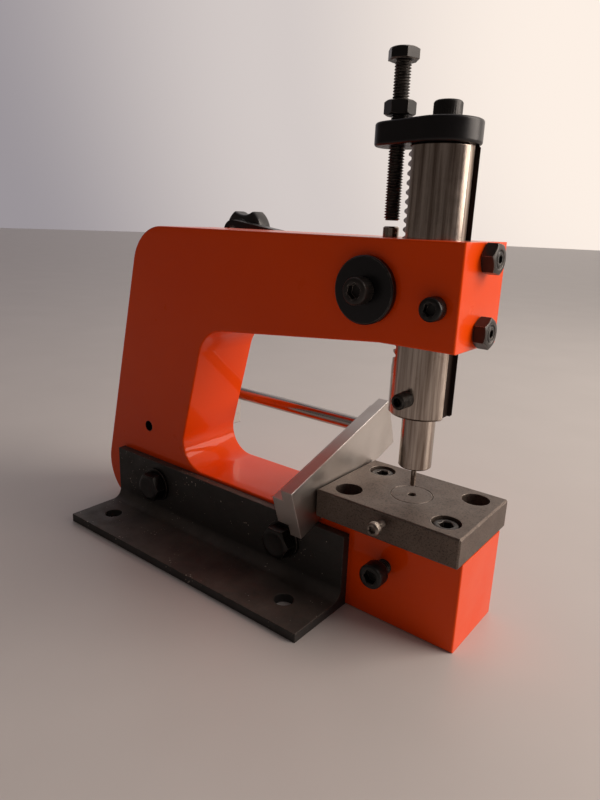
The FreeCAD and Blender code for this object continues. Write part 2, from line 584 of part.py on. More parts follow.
def pinion_teeth():
    """The toothed part, turned so that a tooth stands in the middle of the rack's space."""
    root = PITCH_RADIUS - DEDENDUM
    tip = PITCH_RADIUS + MODULE - TOOTH_GAP
    radii = [root + (tip - root) * i / FLANK_STEPS for i in range(FLANK_STEPS + 1)]
    flank = [(r, tooth_half_angle(r)) for r in radii]
    outline = [(r, -a) for r, a in flank] + [(r, a) for r, a in reversed(flank)]
    points = []
    for tooth in range(PINION_TEETH):
        middle = 2 * math.pi * tooth / PINION_TEETH + RACK_SHIFT / PITCH_RADIUS
        for r, a in outline[1:]:
            points.append(V(r * math.cos(middle + a), -PINION_WIDTH / 2, r * math.sin(middle + a)))
    return Part.Face(Part.makePolygon(points + points[:1])).extrude(V(0, PINION_WIDTH, 0))


def pinion_shaft():
    length = HUB_BACK_Y - SEAT_GAP - SHAFT_NEAR_Y
    body = rod(SHAFT_DIAMETER, length, V(PINION_X, SHAFT_NEAR_Y, PINION_Z), FAR)
    relief = ring(2 * SHAFT_DIAMETER, 2 * (PITCH_RADIUS - DEDENDUM), PINION_WIDTH,
                  V(PINION_X, -PINION_WIDTH / 2, PINION_Z), FAR)
    gear = pinion_teeth()
    gear.translate(V(PINION_X, 0, PINION_Z))
    body = body.cut(relief).fuse(gear)
    near_tap = tapped(M6["thread"], SHAFT_TAP_DEPTH, V(PINION_X, SHAFT_NEAR_Y, PINION_Z), FAR)
    far_tap = tapped(M6["thread"], LEVER_TAP_DEPTH,
                     V(PINION_X, HUB_BACK_Y - LEVER_TAP_DEPTH, PINION_Z), FAR)
    return body.cut(near_tap).cut(far_tap).cut(hub_pin_hole())


def hub_pin_place():
    """The hub's pin stands upright, between the frame and the shaft's tapped hole."""
    middle_y = (SIDE_Y + FACE_GAP + HUB_BACK_Y - LEVER_TAP_DEPTH) / 2
    return V(PINION_X, middle_y, PINION_Z - HUB_DIAMETER / 2)


def hub_pin_hole():
    return rod(HUB_PIN_DIAMETER + 2 * THREAD_GAP, HUB_DIAMETER, hub_pin_place(), UP)


def hub_pin():
    return rod(HUB_PIN_DIAMETER, HUB_DIAMETER, hub_pin_place(), UP)


def pinion_bushes():
    near = ring(BUSH_OUTER - 2 * THREAD_GAP, SHAFT_DIAMETER + 2 * RUNNING_GAP, BUSH_LENGTH,
                V(PINION_X, -SIDE_Y, PINION_Z), FAR)
    far = near.copy()
    far.translate(V(0, FRAME_WIDTH - BUSH_LENGTH, 0))
    return Part.Compound([near, far])


def retaining_disc():
    return ring(DISC_DIAMETER, M6["thread"] + 2 * BOLT_GAP, DISC_THICKNESS,
                V(PINION_X, SHAFT_NEAR_Y, PINION_Z), NEAR, SCREW_CHAMFER)


def retaining_screw():
    seat = V(PINION_X, SHAFT_NEAR_Y - DISC_THICKNESS, PINION_Z)
    return cap_screw(M6, DISC_THICKNESS + SHAFT_TAP_DEPTH - THREAD_RUNOUT, seat, NEAR)


def lever_turn(shape):
    """Turn a piece that was made pointing straight back up to the lever's rest angle."""
    shape.rotate(V(PINION_X, 0, PINION_Z), FAR, LEVER_REST_ANGLE)
    return shape


def lever_hub():
    start_y = SIDE_Y + FACE_GAP
    end_y = HUB_BACK_Y + LEVER_THICKNESS
    body = ring(HUB_DIAMETER, SHAFT_DIAMETER + 2 * THREAD_GAP, end_y - start_y,
                V(PINION_X, start_y, PINION_Z), FAR, SCREW_CHAMFER)
    half = LEVER_WIDTH / 2 + THREAD_GAP
    slot = block((PINION_X - HUB_DIAMETER, PINION_X + HUB_DIAMETER),
                 (HUB_BACK_Y, end_y + THROUGH), (PINION_Z - half, PINION_Z + half))
    return body.cut(lever_turn(slot)).cut(hub_pin_hole())


def lever_arm():
    half = LEVER_WIDTH / 2
    bar = block((KNOB_X, PINION_X), (HUB_BACK_Y, HUB_BACK_Y + LEVER_THICKNESS),
                (PINION_Z - half, PINION_Z + half))
    for x in (KNOB_X, PINION_X):
        bar = bar.fuse(rod(LEVER_WIDTH, LEVER_THICKNESS, V(x, HUB_BACK_Y, PINION_Z), FAR))
    bar = bar.removeSplitter()
    bar = bar.cut(rod(M6["thread"] + 2 * BOLT_GAP, LEVER_THICKNESS, V(PINION_X, HUB_BACK_Y, PINION_Z),
                      FAR))
    bar = bar.cut(tapped(M6["thread"], LEVER_THICKNESS, V(KNOB_X, HUB_BACK_Y, PINION_Z), FAR))
    return lever_turn(bar)


def lever_screw():
    seat = V(PINION_X, HUB_BACK_Y + LEVER_THICKNESS, PINION_Z)
    return cap_screw(M6, LEVER_THICKNESS + LEVER_TAP_DEPTH - THREAD_RUNOUT, seat, FAR)


def knob_stud():
    length = KNOB_FRONT_Y + STUD_DEPTH_IN_KNOB - HUB_BACK_Y
    return lever_turn(rod(M6["thread"], length, V(KNOB_X, HUB_BACK_Y, PINION_Z), FAR,
                          SCREW_CHAMFER))


def star_knob():
    boss_y = HUB_BACK_Y + LEVER_THICKNESS + FACE_GAP
    star = rod(KNOB_DIAMETER, KNOB_THICKNESS, V(KNOB_X, KNOB_FRONT_Y, PINION_Z), FAR, KNOB_BEVEL)
    for i in range(KNOB_LOBES):
        angle = math.radians(90 + LEVER_REST_ANGLE + 360 * i / KNOB_LOBES)
        x = KNOB_X + SCALLOP_CENTRE * math.cos(angle)
        z = PINION_Z + SCALLOP_CENTRE * math.sin(angle)
        star = star.cut(rod(2 * SCALLOP_RADIUS, KNOB_THICKNESS, V(x, KNOB_FRONT_Y, z), FAR))
    boss = rod(KNOB_BOSS_DIAMETER, KNOB_FRONT_Y - boss_y, V(KNOB_X, boss_y, PINION_Z), FAR)
    depth = KNOB_FRONT_Y + STUD_DEPTH_IN_KNOB + SEAT_GAP - boss_y
    hole = rod(M6["thread"] + 2 * RUNNING_GAP, depth, V(KNOB_X, boss_y, PINION_Z), FAR)
    return lever_turn(star.fuse(boss).cut(hole))


# Die plate and die
def plate_screw_places():
    return [(-PLATE_HOLE_X, PLATE_HOLE_Y), (PLATE_HOLE_X, -PLATE_HOLE_Y)]


def plate_plain_places():
    return [(-PLATE_HOLE_X, -PLATE_HOLE_Y), (PLATE_HOLE_X, PLATE_HOLE_Y)]


def die_plate():
    plate = block((-BLOCK_X, BLOCK_X), (-PLATE_Y, PLATE_Y), (BLOCK_TOP_Z, PLATE_TOP_Z))
    plate = plate.makeChamfer(PLATE_CHAMFER, plate.Edges)
    cutters = [rod(DIE_DIAMETER + 2 * THREAD_GAP, PLATE_THICKNESS, V(0, 0, BLOCK_TOP_Z), UP),
               tapped(M3["thread"], PLATE_Y, V(0, 0, PLATE_TOP_Z - CLAMP_SCREW_BELOW_TOP), NEAR)]
    for px, py in plate_plain_places():
        cutters.append(rod(PLATE_PLAIN_HOLE, PLATE_THICKNESS, V(px, py, BLOCK_TOP_Z), UP))
    for px, py in plate_screw_places():
        cutters.append(rod(M6["thread"] + 2 * BOLT_GAP, PLATE_THICKNESS, V(px, py, BLOCK_TOP_Z), UP))
        cutters.append(rod(COUNTERBORE, COUNTERBORE_DEPTH,
                           V(px, py, PLATE_TOP_Z - COUNTERBORE_DEPTH), UP))
    for cutter in cutters:
        plate = plate.cut(cutter)
    return plate


def die_button():
    body = rod(DIE_DIAMETER, PLATE_THICKNESS, V(0, 0, BLOCK_TOP_Z), UP, THREAD_GAP)
    body = body.cut(rod(DIE_HOLE, PLATE_THICKNESS, V(0, 0, BLOCK_TOP_Z), UP))
    return body.cut(rod(DIE_RELIEF, PLATE_THICKNESS - DIE_LAND, V(0, 0, BLOCK_TOP_Z), UP))


def die_plate_screws():
    seat_z = PLATE_TOP_Z - COUNTERBORE_DEPTH
    return Part.Compound([cap_screw(M6, PLATE_SCREW_LENGTH, V(x, y, seat_z), UP)
                          for x, y in plate_screw_places()])


def die_clamp_screw():
    seat_y = PLATE_Y + CLAMP_SCREW_PROUD
    length = seat_y - DIE_DIAMETER / 2 - SEAT_GAP
    return cap_screw(M3, length, V(0, -seat_y, PLATE_TOP_Z - CLAMP_SCREW_BELOW_TOP), NEAR)


def block_side_screw():
    length = BLOCK_SCREW_PROUD + BLOCK_SCREW_DEPTH - THREAD_GAP
    seat = V(0, -SIDE_Y - BLOCK_SCREW_PROUD, BLOCK_TOP_Z - BLOCK_SCREW_BELOW_TOP)
    return cap_screw(M6, length, seat, NEAR)


# Mounting bracket
def mounting_bracket():
    """A steel angle, with the root of its two legs rounded."""
    face_y = -SIDE_Y - BRACKET_THICKNESS
    leg = block(BRACKET_X, (face_y, -SIDE_Y), (0, BRACKET_HEIGHT))
    foot = block(BRACKET_X, (BRACKET_EDGE_Y, -SIDE_Y), (0, BRACKET_THICKNESS))
    angle = leg.fuse(foot).removeSplitter()
    root = [e for e in angle.Edges if e.BoundBox.YLength < SEAT_GAP and e.BoundBox.ZLength < SEAT_GAP
            and abs(e.CenterOfMass.y - face_y) < SEAT_GAP
            and abs(e.CenterOfMass.z - BRACKET_THICKNESS) < SEAT_GAP]
    angle = angle.makeFillet(BRACKET_BEND, root)
    for hole_x in FOOT_HOLE_X:
        angle = angle.cut(rod(FOOT_HOLE_DIAMETER, BRACKET_THICKNESS,
                              V(hole_x, BRACKET_EDGE_Y + FOOT_HOLE_FROM_EDGE, 0), UP))
    for hole_x in BRACKET_BOLT_X:
        angle = angle.cut(rod(M8_THREAD + 2 * BOLT_GAP, BRACKET_THICKNESS,
                              V(hole_x, -SIDE_Y, BRACKET_BOLT_Z), NEAR))
    return angle


def bracket_washers():
    seat_y = -SIDE_Y - BRACKET_THICKNESS
    return Part.Compound([ring(WASHER_DIAMETER, M8_THREAD + 2 * BOLT_GAP, WASHER_THICKNESS,
                               V(x, seat_y, BRACKET_BOLT_Z), NEAR)
                          for x in BRACKET_BOLT_X])


def bracket_bolts():
    seat_y = -SIDE_Y - BRACKET_THICKNESS - WASHER_THICKNESS
    return Part.Compound([hex_bolt(M8_THREAD, M8_HEX, M8_HEX_HEIGHT, BRACKET_BOLT_LENGTH,
                                   V(x, seat_y, BRACKET_BOLT_Z), NEAR)
                          for x in BRACKET_BOLT_X])


# Fence
def fence_rest_angle():
    """The near end drops until the bar's lower edge rests on the bracket or on the frame."""
    below = FENCE_HEIGHT / 2 + FENCE_ROD_ABOVE_MIDDLE + REST_GAP
    edges = [(-SIDE_Y - BRACKET_THICKNESS, BRACKET_HEIGHT), (-SIDE_Y, LOWER_ARM_TOP_Z)]
    angles = []
    for y, z in edges:
        across, down = ROD_Y - y, ROD_Z - z
        angles.append(math.atan2(down, across) - math.asin(below / math.hypot(across, down)))
    return math.degrees(min(angles))


def fence_tilt(shape):
    """Turn a piece of the fence about the rod, from level to its rest angle."""
    shape.rotate(V(0, ROD_Y, ROD_Z), FORWARD, fence_rest_angle())
    return shape


def fence_bar():
    far_y = ROD_Y + FENCE_ROD_FROM_END
    y = (far_y - FENCE_LENGTH, far_y)
    middle_z = ROD_Z - FENCE_ROD_ABOVE_MIDDLE
    plate_x = FENCE_FACE_X - FENCE_PLATE
    plate = block((plate_x, FENCE_FACE_X), y,
                  (middle_z - FENCE_HEIGHT / 2, middle_z + FENCE_HEIGHT / 2))
    rib = block((FENCE_BACK_X, plate_x), y,
                (middle_z - FENCE_RIB_HEIGHT / 2, middle_z + FENCE_RIB_HEIGHT / 2))
    bar = plate.fuse(rib).removeSplitter()
    bar = bar.cut(rod(ROD_DIAMETER + 2 * RUNNING_GAP, FENCE_SOCKET_DEPTH,
                      V(FENCE_BACK_X, ROD_Y, ROD_Z), FORWARD))
    bar = bar.cut(tapped(M3["thread"], FENCE_HEIGHT, fence_grub_tip(), DOWN))
    return fence_tilt(bar)


def fence_grub_tip():
    """The grub screw comes up under the rod's end, in the thickness of the fence's plate."""
    x = FENCE_FACE_X - FENCE_PLATE + FENCE_GRUB_WALL + THREAD_GAP + M3["thread"] / 2
    return V(x, ROD_Y, ROD_Z - ROD_DIAMETER / 2 - SEAT_GAP)


def fence_grub_screw():
    return fence_tilt(grub_screw(M3["thread"], FENCE_GRUB_LENGTH, fence_grub_tip(), DOWN))


def guide_rod():
    end_x = FENCE_BACK_X + FENCE_SOCKET_DEPTH - 2 * SEAT_GAP
    return rod(ROD_DIAMETER, end_x - ROD_BACK_X, V(ROD_BACK_X, ROD_Y, ROD_Z), FORWARD,
               SCREW_CHAMFER)


def rod_holder():
    half = HOLDER_BLOCK_LENGTH / 2
    far_y = SIDE_Y + HOLDER_BLOCK_DEPTH
    body = block((HOLDER_BLOCK_X - half, HOLDER_BLOCK_X + half), (SIDE_Y, far_y),
                 (ROD_Z - HOLDER_BLOCK_BELOW_ROD, ROD_Z + HOLDER_BLOCK_ABOVE_ROD))
    body = body.makeChamfer(PLATE_CHAMFER, body.Edges)
    body = body.cut(rod(ROD_DIAMETER + 2 * RUNNING_GAP, HOLDER_BLOCK_LENGTH,
                        V(HOLDER_BLOCK_X - half, ROD_Y, ROD_Z), FORWARD))
    body = body.cut(rod(M5["thread"] + 2 * BOLT_GAP, HOLDER_BLOCK_DEPTH,
                        V(HOLDER_BLOCK_X, SIDE_Y, ROD_Z - HOLDER_SCREW_BELOW_ROD), FAR))
    return body.cut(tapped(M5["thread"], far_y - ROD_Y, V(HOLDER_BLOCK_X, ROD_Y, ROD_Z), FAR))


def holder_screw():
    seat = V(HOLDER_BLOCK_X, SIDE_Y + HOLDER_BLOCK_DEPTH, ROD_Z - HOLDER_SCREW_BELOW_ROD)
    return cap_screw(M5, HOLDER_SCREW_LENGTH, seat, FAR)


def rod_clamp_screw():
    far_y = SIDE_Y + HOLDER_BLOCK_DEPTH
    length = far_y - ROD_Y - ROD_DIAMETER / 2 - SEAT_GAP
    return cap_screw(M5, length, V(HOLDER_BLOCK_X, far_y, ROD_Z), FAR)


PIECES = [c_frame, ram_gib, gib_set_screws, gib_lock_nuts, arm_side_screw, stop_pin,
          pinion_bushes, die_plate, die_button, die_plate_screws, die_clamp_screw,
          block_side_screw, mounting_bracket, bracket_bolts, bracket_washers, rod_holder,
          holder_screw, rod_clamp_screw, ram, ram_cap, ram_cap_screw, punch_holder, punch,
          ram_set_screw, depth_stop_bolt, depth_lock_nut, pinion_shaft, retaining_disc,
          retaining_screw, lever_hub, hub_pin, lever_arm, lever_screw, knob_stud, star_knob,
          guide_rod, fence_bar, fence_grub_screw]

os.makedirs("parts", exist_ok=True)
for make in PIECES:
    shape = make()
    shape.exportStep("parts/" + make.__name__ + ".step")
    print(make.__name__, "solids", len(shape.Solids), "valid", shape.isValid(),
          "volume", round(shape.Volume, 1))
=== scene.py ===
# %% [markdown]
# # A bench lever punch, dressed in Blender
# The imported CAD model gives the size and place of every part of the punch. This lesson keeps
# those parts, gives each one the finish that it has on the real tool, and builds finer meshes
# for the pieces whose threads, knurls and rounded edges catch the eye.

# %% Load the CAD parts
import math

import bmesh
import bpy
from mathutils import Matrix, Vector


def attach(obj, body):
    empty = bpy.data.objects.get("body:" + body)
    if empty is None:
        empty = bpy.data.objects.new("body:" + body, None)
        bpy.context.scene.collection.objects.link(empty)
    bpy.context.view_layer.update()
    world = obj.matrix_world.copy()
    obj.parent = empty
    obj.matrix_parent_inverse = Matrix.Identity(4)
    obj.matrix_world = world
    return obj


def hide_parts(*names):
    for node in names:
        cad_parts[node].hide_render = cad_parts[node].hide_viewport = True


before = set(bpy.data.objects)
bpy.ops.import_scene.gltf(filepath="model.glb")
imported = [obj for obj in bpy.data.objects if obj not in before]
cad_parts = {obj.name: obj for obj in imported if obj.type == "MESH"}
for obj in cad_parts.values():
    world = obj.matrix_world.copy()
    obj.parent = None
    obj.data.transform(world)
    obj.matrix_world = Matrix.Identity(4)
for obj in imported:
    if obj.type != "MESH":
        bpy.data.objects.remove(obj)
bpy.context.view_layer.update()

# %% [markdown]
# ## Camera
# The picture was taken close to the tool with a phone held a little above the arm, so the
# perspective is strong. The camera's three axes were solved from the tool's own parallel edges.
# A matrix made of those axes sets the tilt and the slight roll in one step, which is simpler
# than finding three angles.

# %% Camera
MM = 0.001
EYE = Vector((104.66, -211.3, 154.1)) * MM
LOOK = Vector((-0.58852, 0.75937, -0.27748))
RIGHT = Vector((0.78335, 0.62050, 0.03667))
LENS_MM = 27.88
SENSOR_MM = 36.0
CLOSEST, FARTHEST = 0.01, 50.0

camera_data = bpy.data.cameras.new("camera")
camera_data.lens = LENS_MM
camera_data.sensor_width = SENSOR_MM
camera_data.clip_start = CLOSEST
camera_data.clip_end = FARTHEST
camera = bpy.data.objects.new("camera", camera_data)
axes = Matrix((RIGHT, RIGHT.cross(LOOK), -LOOK)).transposed()
camera.matrix_world = Matrix.Translation(EYE) @ axes.to_4x4()
bpy.context.scene.collection.objects.link(camera)
bpy.context.scene.camera = camera
bpy.context.scene.view_settings.view_transform = "Standard"
print("lens", LENS_MM, "mm, eye", [round(v, 3) for v in EYE])

# %% [markdown]
# ## Two small helpers for materials
# A colour picked on a screen is stored as an sRGB hex code, while Blender's nodes work with
# linear light, so one function turns one into the other. Another adds a node, sets it and links
# what feeds it. Everything below is built from these two.

# %% Colour and node helpers
def linear(code):
    """The linear colour of an sRGB hex code."""
    parts = [int(code[i:i + 2], 16) / 255 for i in (1, 3, 5)]
    return (*[p / 12.92 if p <= 0.04045 else ((p + 0.055) / 1.055) ** 2.4 for p in parts], 1.0)


def add(tree, kind, inputs=None, **settings):
    """Add a shader node. An input is a value, or a node or socket that is linked to it."""
    node = tree.nodes.new("ShaderNode" + kind)
    for name, value in settings.items():
        setattr(node, name, value)
    for socket, value in (inputs or {}).items():
        if isinstance(value, bpy.types.Node):
            value = value.outputs[0]
        if isinstance(value, bpy.types.NodeSocket):
            tree.links.new(value, node.inputs[socket])
        else:
            node.inputs[socket].default_value = value
    return node


print("orange in linear light", [round(v, 3) for v in linear("#EE4400")])

# %% [markdown]
# ## Light
# The tool stands before a pale wall, with a window to its right and a dim room behind the
# camera. A world whose tone turns smoothly from the wall to the room gives steel something
# light and something dark to mirror, and one large soft lamp stands for the window. The floor
# is a plain pale sheet.

# %% World, lamp and floor
WINDOW_SIDE = Vector((0.05, 0.96, 0.27)).normalized()
ROOM_TONES = ((0.15, "#5C5450"), (0.42, "#544B46"), (0.70, "#9A9499"), (0.87, "#D3CAC7"),
              (0.97, "#FDF0E5"))
LAMP_WIDTH, LAMP_HEIGHT = 0.7, 0.9
LAMP_WATTS = 10.0
LAMP_PLACE = Vector((0.72, 0.42, 0.55))
LAMP_AIM = Vector((-0.05, 0.0, 0.08))
FLOOR_RADIUS = 6.0

world = bpy.data.worlds.new("dim_room")
bpy.context.scene.world = world
world.use_nodes = True
tree = world.node_tree
tree.nodes.clear()
direction = add(tree, "TexCoord")
facing = add(tree, "VectorMath", {0: direction.outputs["Generated"], 1: WINDOW_SIDE},
             operation="DOT_PRODUCT")
share = add(tree, "MapRange", {"Value": facing.outputs["Value"], "From Min": -1.0, "From Max": 1.0})
tone = add(tree, "ValToRGB", {0: share})
ramp = tone.color_ramp
ramp.interpolation = "EASE"
while len(ramp.elements) < len(ROOM_TONES):
    ramp.elements.new(1.0)
for element, (spot, code) in zip(ramp.elements, ROOM_TONES):
    element.position = spot
    element.color = linear(code)
glow = add(tree, "Background", {"Color": tone.outputs[0], "Strength": 1.0})
add(tree, "OutputWorld", {"Surface": glow})

lamp_data = bpy.data.lights.new("window", "AREA")
lamp_data.shape = "RECTANGLE"
lamp_data.size = LAMP_WIDTH
lamp_data.size_y = LAMP_HEIGHT
lamp_data.energy = LAMP_WATTS
lamp_data.color = linear("#FFF1E4")[:3]
lamp = bpy.data.objects.new("window", lamp_data)
lamp.location = LAMP_PLACE
lamp.rotation_euler = (LAMP_AIM - LAMP_PLACE).to_track_quat("-Z", "Y").to_euler()
bpy.context.scene.collection.objects.link(lamp)

floor_mesh = bpy.data.meshes.new("floor")
shape = bmesh.new()
bmesh.ops.create_circle(shape, cap_ends=True, segments=96, radius=FLOOR_RADIUS)
shape.to_mesh(floor_mesh)
shape.free()
floor = bpy.data.objects.new("floor", floor_mesh)
bpy.context.scene.collection.objects.link(floor)

pale = bpy.data.materials.new("pale_matt_sheet")
pale.use_nodes = True
tree = pale.node_tree
tree.nodes.clear()
place = add(tree, "TexCoord")
mottle = add(tree, "TexNoise", {"Vector": place.outputs["Object"], "Scale": 14.0, "Detail": 4.0})
tone = add(tree, "Mix", {0: mottle, 6: linear("#C0BBB8"), 7: linear("#CAC5C2")}, data_type="RGBA")
sheet = add(tree, "BsdfPrincipled", {"Base Color": tone.outputs[2], "Roughness": 0.40})
add(tree, "OutputMaterial", {"Surface": sheet})
floor_mesh.materials.append(pale)
print("lamp", LAMP_WATTS, "W, floor", FLOOR_RADIUS, "m in radius")

# %% [markdown]
# ## What the finishes share
# Short functions stand for the nodes that every finish needs: noise, a change of range, a mix
# of two colours and a bump. Three patterns come back in most of the finishes. Edges wear, so a
# mask finds them: the Bevel node bends the normal near an edge, and the angle between it and the
# true normal is the mask. On the enamel and the black oxide the same mask also places a painted
# edge highlight. Machined faces carry fine parallel lines. Handled faces have faint
# smudges.

# %% Shared patterns
def start_material(name):
    """A new node material, its tree, and the object coordinates in metres."""
    made = bpy.data.materials.new(name)
    made.use_nodes = True
    made.node_tree.nodes.clear()
    return made, made.node_tree, add(made.node_tree, "TexCoord").outputs["Object"]


def surfaced(made, inputs):
    """Close a material with one surface shader, which takes these inputs."""
    shader = add(made.node_tree, "BsdfPrincipled", inputs)
    add(made.node_tree, "OutputMaterial", {"Surface": shader})
    return made


def noise(tree, place, size_mm, detail=2.0, roughness=0.5):
    """Cloudy noise, with clouds about size_mm wide."""
    return add(tree, "TexNoise", {"Vector": place, "Scale": 1 / (size_mm * MM), "Detail": detail,
                                  "Roughness": roughness})


def remap(tree, value, start, end, low=0.0, high=1.0):
    """Turn start into low and end into high, with what lies between in proportion."""
    return add(tree, "MapRange", {"Value": value, "From Min": start, "From Max": end,
                                  "To Min": low, "To Max": high})


def mix(tree, share, first, second):
    """A colour from first to second. Each is a hex code or the result of another mix."""
    first, second = (linear(c) if isinstance(c, str) else c for c in (first, second))
    return add(tree, "Mix", {0: share, 6: first, 7: second}, data_type="RGBA").outputs[2]


def relief(tree, height, depth_mm, soft, strength=1.0):
    """Bump over a soft normal, as deep as depth_mm where the height goes from 0 to 1."""
    return add(tree, "Bump", {"Height": height, "Distance": depth_mm * MM, "Strength": strength,
                              "Normal": soft.outputs[0]})


def edge_mask(tree, radius_mm, place, patch_mm=2.5, start=0.35):
    """A soft normal near edges, and a patchy edge mask: wear, and a painted highlight too."""
    soft = add(tree, "Bevel", {"Radius": radius_mm * MM}, samples=6)
    true = add(tree, "NewGeometry")
    angle = add(tree, "VectorMath", {0: soft.outputs[0], 1: true.outputs["Normal"]},
                operation="DOT_PRODUCT")
    near = remap(tree, angle.outputs["Value"], 0.995, 0.80)
    patches = noise(tree, place, patch_mm, 5.0)
    broken = remap(tree, patches, start, start + 0.25)
    wear_and_highlight = add(tree, "Math", {0: near, 1: broken}, operation="MULTIPLY")
    return soft, wear_and_highlight


def lines(tree, place, spacing_mm, stretch):
    """Fine parallel tool marks. stretch is how much finer the noise is along each axis."""
    scaled = add(tree, "Mapping", {"Vector": place, "Scale": stretch})
    return noise(tree, scaled, spacing_mm * max(stretch), 3.0, 0.6)


def smudges(tree, place, size_mm, low, high):
    """Roughness that drifts between two values, as on a handled face."""
    cloud = noise(tree, place, size_mm, 6.0, 0.62)
    return remap(tree, cloud, 0.3, 0.7, low, high)


# %% [markdown]
# ## Orange enamel
# The C-frame is steel with a thick sprayed enamel. It is glossy, a little wavy as sprayed paint
# is (orange peel, a ripple about 1.5 mm long), thinner along the edges, where its colour is lighter
# as a painted highlight, and has a few small chips that show dark primer. A coat layer gives the
# wet shine over the colour. The one open tapped hole was cut after painting, so it has no paint
# inside, and it is coloured near-black there.

# %% Orange enamel
DARKENED_HOLE = Vector((-143.8, 0.0, 48.9))
DARKENED_HOLE_RADIUS = 2.8


def sprayed_enamel():
    made, tree, place = start_material("sprayed_orange_enamel")
    soft, wear_and_highlight = edge_mask(tree, 0.45, place, patch_mm=6.0, start=0.42)
    drift = noise(tree, place, 45, 3.0)
    body = mix(tree, drift, "#EE4400", "#F85000")
    # Painted highlight: the edges are coloured lighter orange, where the paint is also thin.
    thin_paint_and_highlight = mix(tree, wear_and_highlight, body, "#F98648")
    cells = add(tree, "TexVoronoi", {"Vector": place, "Scale": 1 / (16 * MM)})
    size = noise(tree, place, 22)
    limit = remap(tree, size, 0.5, 0.75, 0.0, 0.045)
    chip = add(tree, "Math", {0: cells.outputs["Distance"], 1: limit}, operation="LESS_THAN")
    colour = mix(tree, chip, thin_paint_and_highlight, "#6B2412")
    # The inside of the open tapped hole, which has no paint, is coloured near-black.
    apart = add(tree, "VectorMath", {0: place, 1: DARKENED_HOLE * MM}, operation="SUBTRACT")
    flat = add(tree, "VectorMath", {0: apart, 1: (1.0, 0.0, 1.0)}, operation="MULTIPLY")
    reach = add(tree, "VectorMath", {0: flat}, operation="LENGTH")
    in_darkened_hole = add(tree, "Math", {0: reach.outputs["Value"], 1: DARKENED_HOLE_RADIUS * MM},
                operation="LESS_THAN")
    colour = mix(tree, in_darkened_hole, colour, "#0E0B0A")
    peel = noise(tree, place, 1.5, 1.0)
    height = add(tree, "Math", {0: peel, 1: chip}, operation="SUBTRACT")
    bump = relief(tree, height, 0.006, soft)
    return surfaced(made, {
        "Base Color": colour, "Roughness": smudges(tree, place, 18, 0.26, 0.40),
        "Normal": bump, "IOR": 1.45, "Specular IOR Level": 0.25, "Specular Tint": linear("#FF8A48"),
        "Coat Weight": 0.35, "Coat Roughness": 0.05})


# %% [markdown]
# ## Black painted angle iron
# The bracket is a length of rolled angle, painted matt black and never polished. It has a faint
# mill-scale grain, pale dust on the faces that look up, scattered grit, and edges that are
# rubbed back to dull brown steel.

# %% Black painted angle iron
def painted_angle_iron():
    made, tree, place = start_material("black_painted_angle_iron")
    soft, wear_and_highlight = edge_mask(tree, 0.7, place, patch_mm=4.0, start=0.40)
    grain = noise(tree, place, 1.1, 6.0, 0.7)
    paint = mix(tree, grain, "#1A1918", "#35322F")
    rubbed = mix(tree, wear_and_highlight, paint, "#6A5F58")
    true = add(tree, "NewGeometry")
    up = add(tree, "SeparateXYZ", {0: true.outputs["Normal"]})
    film = noise(tree, place, 26, 7.0, 0.65)
    thick = remap(tree, film, 0.35, 0.75, 0.08, 0.40)
    dust = add(tree, "Math", {0: thick, 1: up.outputs["Z"]}, operation="MULTIPLY", use_clamp=True)
    dusty = mix(tree, dust, rubbed, "#8A7C70")
    cells = add(tree, "TexVoronoi", {"Vector": place, "Scale": 1 / (1.7 * MM)})
    pick = noise(tree, place, 9)
    limit = remap(tree, pick, 0.46, 0.75, 0.0, 0.24)
    grit = add(tree, "Math", {0: cells.outputs["Distance"], 1: limit}, operation="LESS_THAN")
    speckled = mix(tree, grit, dusty, "#A39A90")
    bump = relief(tree, grain, 0.05, soft)
    return surfaced(made, {
        "Base Color": speckled, "Roughness": smudges(tree, place, 10, 0.45, 0.72),
        "Normal": bump, "IOR": 1.5})


# %% [markdown]
# ## Black oxide on fasteners
# Screws and bolts are dipped in hot salts, which leaves a thin black skin on the steel. It is
# dark and semi-gloss. Spanners and keys rub it off the corners, so the edges show brighter
# steel, and the edge colour is lightened further as a painted highlight on rims and knurls.
# One function makes the fresh and the worn kind, and the satin kind of the
# larger turned pieces, because only their wear, tone and tool marks differ.

# %% Black oxide
def black_oxide(name, tone, edge_steel_and_highlight, edge_mm, start, gloss, stretch):
    made, tree, place = start_material(name)
    soft, wear_and_highlight = edge_mask(tree, edge_mm, place, patch_mm=1.6, start=start)
    cloud = noise(tree, place, 3, 5.0)
    skin = mix(tree, cloud, *tone)
    # The edge colour is worn steel, lightened as a painted highlight on rims and knurls.
    colour = mix(tree, wear_and_highlight, skin, edge_steel_and_highlight)
    marks = lines(tree, place, 0.4, stretch)
    bump = relief(tree, marks, 0.012, soft)
    return surfaced(made, {
        "Base Color": colour, "Metallic": 0.35, "Normal": bump, "IOR": 1.5,
        "Roughness": smudges(tree, place, 5, *gloss)})


# %% [markdown]
# ## Ground and polished steel
# The ram, the punch and the rod are ground round bar. Grinding leaves rings so fine that each
# one is invisible, but together they smear reflections along the bar, which is why a ground
# bar shows long upright streaks. The anisotropic setting with a tangent round the bar does
# that, and light scoring and smudges break it up. The ram's keyway is milled, so it is duller,
# and its walls, and its floor below the arm, are darkened with painted shade.

# %% Ground steel
SCORING = 0.5
MILLED_GLEAM = 0.5
SHADED_FLOOR_TOP = 120.0
SHADED_WALL_BAND = 0.4
RAM_KEYWAY = (9.0, 4.1)


